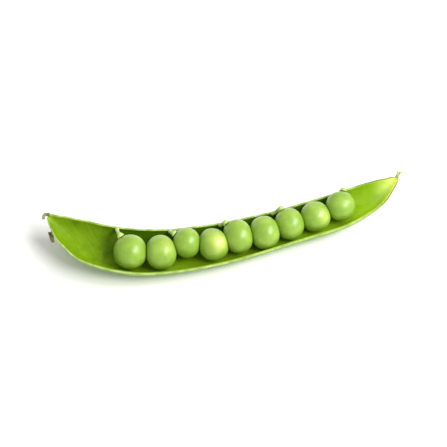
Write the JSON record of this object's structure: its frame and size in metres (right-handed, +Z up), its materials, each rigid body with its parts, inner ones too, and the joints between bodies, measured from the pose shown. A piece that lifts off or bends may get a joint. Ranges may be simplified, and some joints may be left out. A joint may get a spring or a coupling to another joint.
{
  "type": "pea pod",
  "caption": "Opened green garden pea pod lying on its back, a thin boat-shaped valve pointed at both ends, with a row of round peas that hang from the far seam on short stalks",
  "frame": {"origin": "middle of the footprint, on the surface that the pod lies on", "axes": "+X along the pod from the stem end to the flower end, +Y towards the upper seam that the peas hang from, +Z up"},
  "size_m": [0.111, 0.0244, 0.0113],
  "materials": {
    "pod_green": "fresh green pod skin, smooth and slightly glossy inside, duller with a waxy bloom outside",
    "pea_green": "smooth light green seed coat with a soft waxy sheen",
    "stalk_green": "pale green, moist and softly glossy",
    "stem_green": "dark olive green, dull, drying at its end",
    "dried_brown": "dry papery calyx, olive brown with a straw-coloured edge",
    "straw": "withered, papery, pale greenish straw"
  },
  "bodies": {
    "root": {"pod_shell": "pod_green", "pea_1": "pea_green", "pea_2": "pea_green", "pea_3": "pea_green", "pea_4": "pea_green", "pea_5": "pea_green", "pea_6": "pea_green", "pea_7": "pea_green", "pea_8": "pea_green", "pea_9": "pea_green", "pea_stalk_1": "stalk_green", "pea_stalk_3": "stalk_green", "pea_stalk_5": "stalk_green", "pea_stalk_7": "stalk_green", "pea_stalk_9": "stalk_green", "stem_neck": "stem_green", "calyx_remains": "dried_brown", "style_tip": "straw"}
  },
  "joints": []
}
